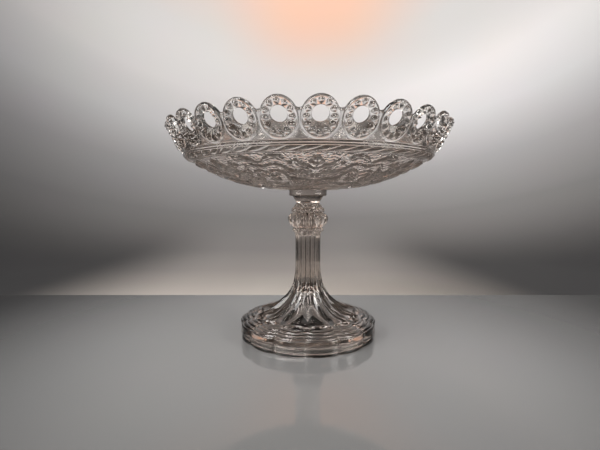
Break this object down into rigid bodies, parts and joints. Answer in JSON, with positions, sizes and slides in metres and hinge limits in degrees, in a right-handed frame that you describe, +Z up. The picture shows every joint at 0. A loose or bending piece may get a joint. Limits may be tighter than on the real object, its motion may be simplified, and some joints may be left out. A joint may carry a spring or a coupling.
{
  "type": "footed glass fruit bowl",
  "caption": "Shallow pressed-glass fruit bowl with a pierced rim of leaning loops, on a fluted stem with a gadrooned knop and a scalloped foot.",
  "frame": {"origin": "middle of the flat ring under the foot, on the surface that the bowl stands on", "axes": "+Z up along the stem and through the middle of the bowl; -Y is the side that faces the camera in the picture"},
  "size_m": [0.2078, 0.2078, 0.1597],
  "materials": {
    "pedestal_glass": "fire-polished clear pressed glass with a faint smoky tint",
    "wafer_glass": "fire-polished clear glass",
    "bowl_glass": "fire-polished clear pressed glass with stippled and leaf relief outside"
  },
  "bodies": {
    "root": {"pedestal": "pedestal_glass", "joining_wafer": "wafer_glass", "bowl": "bowl_glass"}
  },
  "joints": []
}
